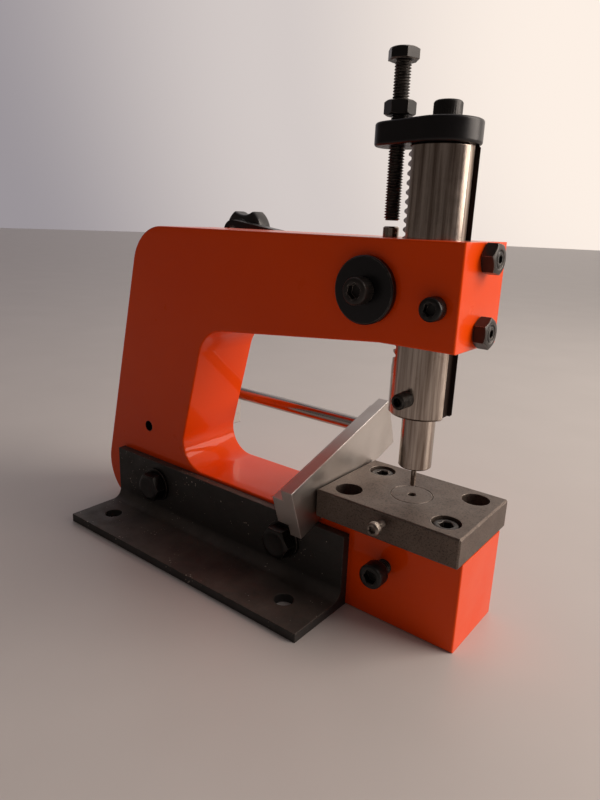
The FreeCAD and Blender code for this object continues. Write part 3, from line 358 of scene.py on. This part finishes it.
def ground_steel(name, axis, tone, gloss, keyway=None):
    """Ground bar along an axis. keyway is its least X and its half width in mm. Its walls,
    and its floor below the arm, are darkened as painted shade."""
    made, tree, place = start_material(name)
    soft, wear_and_highlight = edge_mask(tree, 0.25, place, patch_mm=2.0, start=0.35)
    across = {"X": (0.03, 1, 1), "Y": (1, 0.03, 1), "Z": (1, 1, 0.03)}[axis]
    drawn = add(tree, "Mapping", {"Vector": place, "Scale": across})
    streaks = noise(tree, drawn, 1.6, 4.0, 0.65)
    sharp = remap(tree, streaks, 0.34, 0.64)
    colour = mix(tree, sharp, *tone)
    stains = noise(tree, place, 5, 7.0, 0.7)
    spots = remap(tree, stains, 0.60, 0.72, 0.0, 0.45)
    stains_and_shade = mix(tree, spots, colour, "#6B5546")
    gleam = smudges(tree, place, 9, *gloss)
    if keyway:
        spot = add(tree, "SeparateXYZ", {0: place})
        front = add(tree, "Math", {0: spot.outputs["X"], 1: keyway[0] * MM},
                    operation="GREATER_THAN")
        side = add(tree, "Math", {0: spot.outputs["Y"]}, operation="ABSOLUTE")
        narrow = add(tree, "Math", {0: side, 1: keyway[1] * MM}, operation="LESS_THAN")
        cut = add(tree, "Math", {0: front, 1: narrow}, operation="MULTIPLY")
        gleam = remap(tree, cut, 0.0, 1.0, gleam, MILLED_GLEAM)
        # Painted shade: the keyway's walls, and its floor below the arm, are darkened.
        wall = add(tree, "Math", {0: side, 1: (keyway[1] - SHADED_WALL_BAND) * MM},
                   operation="GREATER_THAN")
        low = add(tree, "Math", {0: spot.outputs["Z"], 1: SHADED_FLOOR_TOP * MM}, operation="LESS_THAN")
        painted_shade_area = add(tree, "Math", {0: wall, 1: low}, operation="MAXIMUM")
        cut = add(tree, "Math", {0: cut, 1: painted_shade_area}, operation="MULTIPLY")
        # Painted shade in the keyway: a dark brown-grey.
        stains_and_shade = mix(tree, cut, stains_and_shade, "#3A302B")
    along = {"X": (60, 1, 1), "Y": (1, 60, 1), "Z": (1, 1, 60)}[axis]
    rings = lines(tree, place, 0.35, along)
    bump = relief(tree, rings, 0.0015, soft, SCORING)
    return surfaced(made, {
        "Base Color": stains_and_shade, "Metallic": 1.0, "Anisotropic": 0.6, "Normal": bump,
        "Roughness": gleam,
        "Tangent": add(tree, "Tangent", direction_type="RADIAL", axis=axis)})


# %% [markdown]
# ## Burnished die steel
# The die plate was ground flat, hardened and then oil-burnished, which leaves a brown-grey
# skin. It is satin, with grinding lines along its length, cloudy brown patches, small dark
# specks, and bright steel where the edges are rubbed.

# %% Burnished die steel
def burnished_steel():
    made, tree, place = start_material("burnished_die_steel")
    soft, wear_and_highlight = edge_mask(tree, 0.45, place, patch_mm=3.0, start=0.40)
    cloud = noise(tree, place, 8, 8.0, 0.62)
    skin = mix(tree, cloud, "#524741", "#776A60")
    specks = noise(tree, place, 0.7, 4.0, 0.7)
    dark = remap(tree, specks, 0.50, 0.66, 0.0, 0.75)
    pitted = mix(tree, dark, skin, "#2A2422")
    colour = mix(tree, wear_and_highlight, pitted, "#C4B9AF")
    marks = lines(tree, place, 0.5, (1, 40, 40))
    bump = relief(tree, marks, 0.01, soft)
    return surfaced(made, {
        "Base Color": colour, "Metallic": 0.6, "Normal": bump, "IOR": 1.5,
        "Roughness": smudges(tree, place, 12, 0.38, 0.55)})


# %% [markdown]
# ## Milled aluminium
# The fence and the block behind it are milled from bar and left bare. A fly cutter leaves
# shallow lines close together, which make the face shine along one direction, and the edges
# are bright where they were broken with a file.

# %% Milled aluminium
def milled_aluminium():
    made, tree, place = start_material("milled_aluminium")
    soft, wear_and_highlight = edge_mask(tree, 0.35, place, patch_mm=5.0, start=0.30)
    cloud = noise(tree, place, 14, 5.0)
    skin = mix(tree, cloud, "#B2ACA6", "#CAC5C0")
    colour = mix(tree, wear_and_highlight, skin, "#E8E6E3")
    marks = lines(tree, place, 0.6, (30, 1, 30))
    bump = relief(tree, marks, 0.01, soft)
    return surfaced(made, {
        "Base Color": colour, "Metallic": 1.0, "Normal": bump,
        "Roughness": smudges(tree, place, 11, 0.32, 0.46)})


# %% [markdown]
# ## Bearing bronze and moulded plastic
# The bushes are sawn from bronze bar. The knob is a thermoset moulding: black, slightly glossy
# from the mould, with a fine grain that shows in its highlights.

# %% Bronze and plastic
def bearing_bronze():
    made, tree, place = start_material("bearing_bronze")
    soft, wear_and_highlight = edge_mask(tree, 0.2, place)
    cloud = noise(tree, place, 4, 4.0)
    skin = mix(tree, cloud, "#8A5E2E", "#A9783E")
    colour = mix(tree, wear_and_highlight, skin, "#D9B077")
    bump = relief(tree, lines(tree, place, 0.3, (1, 40, 1)), 0.01, soft)
    return surfaced(made, {
        "Base Color": colour, "Metallic": 1.0, "Normal": bump,
        "Roughness": smudges(tree, place, 4, 0.25, 0.4)})


def moulded_plastic():
    made, tree, place = start_material("moulded_black_thermoset")
    soft, wear_and_highlight = edge_mask(tree, 0.5, place, patch_mm=3.0, start=0.45)
    cloud = noise(tree, place, 6, 4.0)
    skin = mix(tree, cloud, "#0D0C0D", "#191718")
    colour = mix(tree, wear_and_highlight, skin, "#4A4643")
    grain = noise(tree, place, 0.35)
    bump = relief(tree, grain, 0.012, soft)
    return surfaced(made, {
        "Base Color": colour, "Normal": bump, "IOR": 1.55,
        "Roughness": smudges(tree, place, 5, 0.28, 0.42)})


# %% [markdown]
# ## Hand the finishes out
# Each CAD node keeps its mesh and takes its finish in its material slots.

# %% Finishes for the CAD nodes
ENAMEL = sprayed_enamel()
ANGLE_IRON = painted_angle_iron()
# The light edge colours of these three finishes are partly a painted highlight.
OXIDE = black_oxide("black_oxide_screws", ("#0E0D0D", "#1E1C1B"), "#8C837B", 0.35, 0.30,
                    (0.26, 0.42), (1, 1, 1))
WORN_OXIDE = black_oxide("worn_black_oxide", ("#1A1716", "#322C29"), "#BDB4AB", 0.35, 0.22,
                         (0.28, 0.45), (1, 1, 1))
SATIN = black_oxide("satin_black_oxide", ("#0B0B0D", "#161518"), "#8E8881", 0.5, 0.34,
                    (0.28, 0.38), (1, 1, 30))
POLISHED = ground_steel("ground_polished_ram", "Z", ("#7A6C62", "#BDB2A8"), (0.13, 0.24),
                        keyway=RAM_KEYWAY)
GROUND_Y = ground_steel("ground_steel_shaft", "Y", ("#8C857F", "#BBB5AF"), (0.2, 0.32))
GROUND_X = ground_steel("ground_steel_rod", "X", ("#928A83", "#C6C0BB"), (0.1, 0.2))
BURNISHED = burnished_steel()
ALUMINIUM = milled_aluminium()
BRONZE = bearing_bronze()
PLASTIC = moulded_plastic()
BRIGHT = ground_steel("bright_steel_screw", "Y", ("#6E655E", "#9F968E"), (0.34, 0.48))

FINISH = {
    "c_frame": ENAMEL, "mounting_bracket": ANGLE_IRON,
    "bracket_bolts": OXIDE, "bracket_washers": OXIDE, "arm_side_screw": OXIDE,
    "block_side_screw": OXIDE, "ram_cap_screw": OXIDE, "ram_set_screw": OXIDE,
    "depth_stop_bolt": OXIDE, "depth_lock_nut": OXIDE, "die_plate_screws": WORN_OXIDE,
    "gib_set_screws": OXIDE, "gib_lock_nuts": WORN_OXIDE, "retaining_screw": WORN_OXIDE,
    "holder_screw": OXIDE, "rod_clamp_screw": OXIDE, "fence_grub_screw": OXIDE,
    "lever_screw": OXIDE, "ram_cap": SATIN, "retaining_disc": SATIN, "lever_hub": SATIN,
    "lever_arm": SATIN, "ram": POLISHED, "punch_holder": POLISHED, "punch": POLISHED,
    "stop_pin": POLISHED, "hub_pin": POLISHED, "ram_gib": POLISHED, "pinion_shaft": GROUND_Y,
    "knob_stud": GROUND_Y, "guide_rod": GROUND_X, "die_clamp_screw": BRIGHT,
    "die_plate": BURNISHED, "die_button": BURNISHED, "rod_holder": ALUMINIUM,
    "fence_bar": ALUMINIUM, "pinion_bushes": BRONZE, "star_knob": PLASTIC}

for name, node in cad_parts.items():
    finish = FINISH[name]
    if not node.material_slots:
        node.data.materials.append(finish)
    for slot in node.material_slots:
        slot.material = finish
print(len(FINISH), "CAD nodes have a finish")

# %% [markdown]
# ## Turned and pressed shapes
# Screws, nuts and knobs are all made round an axis. So one helper pulls an edge loop through a
# list of rings, each a radius and a height, and a radius of 0 closes it. A radius or height may
# also depend on the angle round the axis, which gives hexagons, knurls and lobes from the same
# few lines. Shapes are drawn in millimetres along +Z, then stood in their place.

# %% Rings round an axis
POLE = 0.0001
MERGE = 0.001
SHARP_ANGLE = 35.0


def pull(shape, edges, rings):
    """Extrude an edge loop round the Z axis through (radius, height) rings."""
    for radius, height in rings:
        made = bmesh.ops.extrude_edge_only(shape, edges=edges)["geom"]
        edges = [e for e in made if isinstance(e, bmesh.types.BMEdge) and e.is_boundary]
        for vert in [v for v in made if isinstance(v, bmesh.types.BMVert)]:
            turn = math.atan2(vert.co.y, vert.co.x)
            out = max(radius(turn) if callable(radius) else radius, POLE)
            up = height(turn) if callable(height) else height
            vert.co = (out * math.cos(turn), out * math.sin(turn), up)


def turned(rings, segments=72):
    """A closed turned part: the first ring is where a circle starts."""
    part = bmesh.new()
    radius, height = rings[0]
    circle = bmesh.ops.create_circle(part, segments=segments, radius=max(radius, POLE))["verts"]
    bmesh.ops.translate(part, verts=circle, vec=(0, 0, height))
    pull(part, list(part.edges), rings[1:])
    return part


def stand(shape, part, base, direction, turn=0.0):
    """Close a part's seams, stand it at base along direction, and add it to the shape."""
    bmesh.ops.remove_doubles(part, verts=part.verts, dist=MERGE)
    bmesh.ops.recalc_face_normals(part, faces=part.faces)
    aim = Vector((0, 0, 1)).rotation_difference(Vector(direction)).to_matrix().to_4x4()
    spin = Matrix.Rotation(math.radians(turn), 4, "Z")
    bmesh.ops.transform(part, matrix=Matrix.Translation(base) @ aim @ spin, verts=part.verts)
    copy = bpy.data.meshes.new("part")
    part.to_mesh(copy)
    part.free()
    shape.from_mesh(copy)
    bpy.data.meshes.remove(copy)


def finished(name, shape, body, finish, nodes):
    """Make the object, let it ride on its body, and let it stand for its CAD nodes."""
    bmesh.ops.scale(shape, vec=(MM, MM, MM), verts=shape.verts)
    mesh = bpy.data.meshes.new(name)
    shape.to_mesh(mesh)
    shape.free()
    mesh.shade_smooth()
    mesh.set_sharp_from_angle(angle=math.radians(SHARP_ANGLE))
    mesh.materials.append(finish)
    piece = bpy.data.objects.new(name, mesh)
    bpy.context.scene.collection.objects.link(piece)
    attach(piece, body)
    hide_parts(*nodes)
    print(name, len(mesh.polygons), "faces")


print("rings are merged within", MERGE, "mm")

# %% [markdown]
# ## Threads
# A real thread is rolled: dies squeeze the bar until one ridge winds along it. Here the ridge's
# profile is drawn along the whole bar and spun once round while it climbs by one pitch, so that
# each turn meets the next. Then the two ragged ends are cut flat, tapered as a screw's tip is,
# and closed. That keeps a true helix at the cost of one spin.

# %% Threads
THREAD_DEPTH_SHARE = 0.61
THREAD_STEPS = 32
TIP_TAPER = 0.6
TIP_INSET = 0.1
FLANK_START, FLANK_END, CREST_END = 0.14, 0.47, 0.60
COARSE_PITCH = {3: 0.5, 5: 0.8, 6: 1.0, 8: 1.25}


def threaded(size, low, high, socket=None):
    """A threaded bar from low to high. socket is a hexagon's width and depth, in its top."""
    part = bmesh.new()
    pitch = COARSE_PITCH[size]
    crest = size / 2
    root = crest - THREAD_DEPTH_SHARE * pitch
    tip = root - TIP_INSET
    ridge = ((root, 0.0), (root, FLANK_START), (crest, FLANK_END), (crest, CREST_END))
    line = []
    for number in range(-2, math.ceil((high - low) / pitch) + 1):
        for radius, share in ridge:
            line.append(part.verts.new((radius, 0, low + (number + share) * pitch)))
    edges = [part.edges.new(pair) for pair in zip(line, line[1:])]
    bmesh.ops.spin(part, geom=line + edges, cent=(0, 0, 0), axis=(0, 0, 1), angle=math.tau,
                   dvec=(0, 0, pitch / THREAD_STEPS), steps=THREAD_STEPS)
    bmesh.ops.remove_doubles(part, verts=part.verts, dist=MERGE)
    for height, side in ((low, -1), (high, 1)):
        bmesh.ops.bisect_plane(part, geom=[*part.verts, *part.edges, *part.faces],
                               plane_co=(0, 0, height), plane_no=(0, 0, side), clear_outer=True)
    for vert in part.verts:
        end = max(min(vert.co.z - low, high - vert.co.z), 0.0)
        limit = tip + end * (crest - tip) / TIP_TAPER
        reach = vert.co.xy.length
        if reach > limit:
            vert.co.xy *= limit / reach
    middle = (low + high) / 2
    rims = [edge for edge in part.edges if edge.is_boundary]
    top = [edge for edge in rims if edge.verts[0].co.z > middle]
    pull(part, [edge for edge in rims if edge.verts[0].co.z < middle], [(0, low)])
    if socket:
        across, depth = socket
        pull(part, top, [(across / math.sqrt(3), high), (hexagon(across), high - 0.3),
                         (hexagon(across), high - depth), (0, high - depth)])
    else:
        pull(part, top, [(0, high)])
    return part


# %% [markdown]
# ## Heads, bolts and nuts
# Cap screws are forged with a knurled rim, so that fingers can spin them in, and a broached
# hexagon socket. Hexagon heads and nuts are turned at both ends, which leaves the curved 30
# degree chamfers that cross their corners. The height of the rim follows the corner's radius,
# so the curve comes out right without a cut.

# %% Heads and nuts
KNURL_DEPTH = 0.14
KNURL_STEP = 5
CHAMFER = math.tan(math.radians(30))
FACE_SHARE = 0.475
CAP_SIZE = {3: (2.75, 3.0, 2.5), 5: (4.25, 5.0, 4.0), 6: (5.0, 6.0, 5.0)}


def hexagon(across):
    """The radius of a hexagon at an angle, with a corner at angle 0."""
    return lambda turn: across / 2 / math.cos((turn % (math.pi / 3)) - math.pi / 6)


def sloped(across, level, side):
    """The height of a chamfered hexagon's rim: level less the drop towards its corners."""
    return lambda turn: level - side * CHAMFER * (hexagon(across)(turn) - FACE_SHARE * across)


def knurled(radius):
    """Every other point round a rim stands back, which leaves upright ridges."""
    return lambda turn: radius - KNURL_DEPTH * (round(math.degrees(turn) / KNURL_STEP) % 2)


def socket_head(radius, height, socket):
    """A cap screw's head from height 0, with its hexagon socket."""
    mouth = socket / math.sqrt(3) + 0.15
    return turned([(0, 0), (radius - 0.35, 0), (knurled(radius), 0.35),
                   (knurled(radius), height - 0.75), (radius - 0.12, height - 0.6),
                   (radius - 0.35, height - 0.22), (radius - 0.75, height), (mouth, height),
                   (hexagon(socket), height - 0.3), (hexagon(socket), height * 0.5),
                   (0, height * 0.44)])


def hexagon_head(across, height):
    """A hexagon bolt's head from height 0, with a washer face below and a chamfer on top."""
    flat = FACE_SHARE * across
    return turned([(0, 0), (flat, 0), (flat, 0.25), (hexagon(across), 0.3),
                   (hexagon(across), sloped(across, height, 1)), (flat, height),
                   (flat * 0.8, height), (flat * 0.72, height - 0.12), (0, height - 0.12)])


def hexagon_nut(across, size, height):
    """A nut from height 0 to height, chamfered at both ends and round its hole."""
    flat = FACE_SHARE * across
    hole = size / 2
    return turned([(hole, 0.5), (hole + 0.5, 0), (flat, 0),
                   (hexagon(across), sloped(across, 0, -1)),
                   (hexagon(across), sloped(across, height, 1)), (flat, height),
                   (hole + 0.5, height), (hole, height - 0.5), (hole, 0.5)])


print("M6 head, widest", CAP_SIZE[6][0] * 2, "mm")

# %% [markdown]
# ## Build the fasteners
# Each screw takes the size and place that it has in the CAD model. A head and its threaded
# shank are two closed shells in one mesh, with the shank sunk a little into the head. Each head
# is turned by its own angle, because sockets never line up on a real tool.

# %% Cap screws
NEAR, FAR, UP, FRONT = (0, -1, 0), (0, 1, 0), (0, 0, 1), (1, 0, 0)
SINK = 0.3
CAP_SCREWS = {
    "arm_side_screw": ("frame", 5, 8.4, NEAR, 17, [(11.3, -18, 127.3)]),
    "block_side_screw": ("frame", 6, 14.9, NEAR, 4, [(0, -23, 24.6)]),
    "die_clamp_screw": ("frame", 3, 18.3, NEAR, 25, [(0, -27, 45)]),
    "die_plate_screws": ("frame", 6, 15.9, UP, 12, [(-21.6, 13.3, 42.6), (21.6, -13.3, 42.6)]),
    "holder_screw": ("frame", 5, 44.9, FAR, 8, [(-143.8, 38, 48.9)]),
    "rod_clamp_screw": ("frame", 5, 6.9, FAR, 41, [(-143.8, 38, 62.2)]),
    "lever_screw": ("lever", 6, 12.9, FAR, 33, [(-16.3, 39, 131)]),
    "retaining_screw": ("lever", 6, 15.9, NEAR, 20, [(-16.3, -21.2, 131)]),
    "ram_cap_screw": ("ram", 6, 21.0, UP, 9, [(0, 0, 189.2)])}


def hand_over(node, shape, body):
    """Finish a piece that stands for one CAD node, in that node's own finish."""
    finish = FINISH[node]
    finished(node + "_detailed", shape, body, finish, [node])


for name, (body, size, length, direction, turn, places) in CAP_SCREWS.items():
    shape = bmesh.new()
    for place in places:
        stand(shape, socket_head(*CAP_SIZE[size]), place, direction, turn)
        stand(shape, threaded(size, -length, SINK), place, direction)
    hand_over(name, shape, body)

# %% [markdown]
# The depth stop is a fully threaded bolt with its lock nut, the bracket hangs on two larger
# bolts, and two nuts lock the gib's set screws. The ram's set screw has no head: its hexagon
# socket is broached into the end of the thread. The turns of the nuts and of the stop's head are
# read from the picture, in degrees.

# %% Bolts, nuts and the ram's set screw
M6_WIDTH, M6_HEAD_HEIGHT = 10.0, 4.0
M6_NUT = (M6_WIDTH, 6, 5.0)
M8_WIDTH, M8_HEAD_HEIGHT = 13.0, 5.3
STOP_HEAD = (-18.8, 0, 209.4)
STOP_NUT = (-18.8, 0, 191.6)
STOP_BOLT_LENGTH = 53.9
GIB_NUT_X = 19.7
GIB_NUTS = ((118.4, 0), (144.0, 20))
BRACKET_BOLTS = ((-132.8, -23.6, 20.8), (-48.1, -23.6, 20.8))
BRACKET_BOLT_LENGTH = 25.0
SET_SCREW = (0, -6.55, 92.0)
SET_SCREW_LENGTH = 12.2

shape = bmesh.new()
stand(shape, hexagon_head(M6_WIDTH, M6_HEAD_HEIGHT), STOP_HEAD, UP, 12)
stand(shape, threaded(6, -STOP_BOLT_LENGTH, SINK), STOP_HEAD, UP)
hand_over("depth_stop_bolt", shape, "depth_stop")

shape = bmesh.new()
stand(shape, hexagon_nut(*M6_NUT), STOP_NUT, UP, 28)
hand_over("depth_lock_nut", shape, "depth_stop")

shape = bmesh.new()
for height, turn in GIB_NUTS:
    stand(shape, hexagon_nut(*M6_NUT), (GIB_NUT_X, 0, height), FRONT, turn)
hand_over("gib_lock_nuts", shape, "frame")

shape = bmesh.new()
for place in BRACKET_BOLTS:
    stand(shape, hexagon_head(M8_WIDTH, M8_HEAD_HEIGHT), place, NEAR)
    stand(shape, threaded(8, -BRACKET_BOLT_LENGTH, SINK), place, NEAR)
hand_over("bracket_bolts", shape, "frame")

shape = bmesh.new()
stand(shape, threaded(6, 0.0, SET_SCREW_LENGTH, socket=(3.0, 3.0)), SET_SCREW, NEAR, 15)
hand_over("ram_set_screw", shape, "ram")

# %% [markdown]
# ## Knob and die
# The knob is moulded, so it has no sharp edge: three broad finger hollows run into the rim
# through soft curves, and both faces roll over. The smooth minimum of the rim's circle and a
# hollow's circle gives that curve. The die is a ground button that sits in the plate, and its
# small chamfer is what shows as a dark ring round it.

# %% Knob and die button
KNOB_RADIUS = 12.5
HOLLOW_RADIUS = 12.9
HOLLOW_CENTRE = 21.8
BLEND = 0.5
KNOB_BASE = (-134.67, 39.2, 147.43)
DIE_BASE = (0, 0, 37.4)


def knob_rim(turn):
    """The knob's radius at an angle, with a hollow at -90 degrees and every 120 degrees."""
    swing = (turn + math.pi / 2 + math.pi / 3) % (math.tau / 3) - math.pi / 3
    across = HOLLOW_CENTRE * math.sin(swing)
    if abs(across) >= HOLLOW_RADIUS:
        return KNOB_RADIUS
    hollow = HOLLOW_CENTRE * math.cos(swing) - math.sqrt(HOLLOW_RADIUS ** 2 - across ** 2)
    near = max(BLEND - abs(hollow - KNOB_RADIUS), 0) / BLEND
    return min(hollow, KNOB_RADIUS) - near * near * BLEND / 4


def inside(inset):
    """The knob's rim set back by an amount."""
    return lambda turn: knob_rim(turn) - inset


shape = bmesh.new()
knob = turned([(0, 9.8), (3.0, 9.8), (3.0, 0.3), (3.3, 0), (6.3, 0), (6.5, 0.2), (6.5, 1.6),
               (6.8, 1.8), (inside(2.4), 1.8), (inside(1.2), 1.98), (inside(0.45), 2.45),
               (inside(0.1), 3.1), (knob_rim, 4.0), (knob_rim, 9.6), (inside(0.1), 10.5),
               (inside(0.45), 11.1), (inside(1.2), 11.6), (inside(2.4), 11.8), (0, 11.8)],
              segments=144)
stand(shape, knob, KNOB_BASE, FAR)
hand_over("star_knob", shape, "knob")

shape = bmesh.new()
button = turned([(3.0, 0), (8.2, 0), (8.6, 0.4), (8.6, 10.8), (8.3, 12.0), (1.85, 12.0),
                 (1.6, 11.75), (1.6, 7.0), (3.0, 7.0), (3.0, 0)], segments=96)
stand(shape, button, DIE_BASE, UP)
hand_over("die_button", shape, "frame")
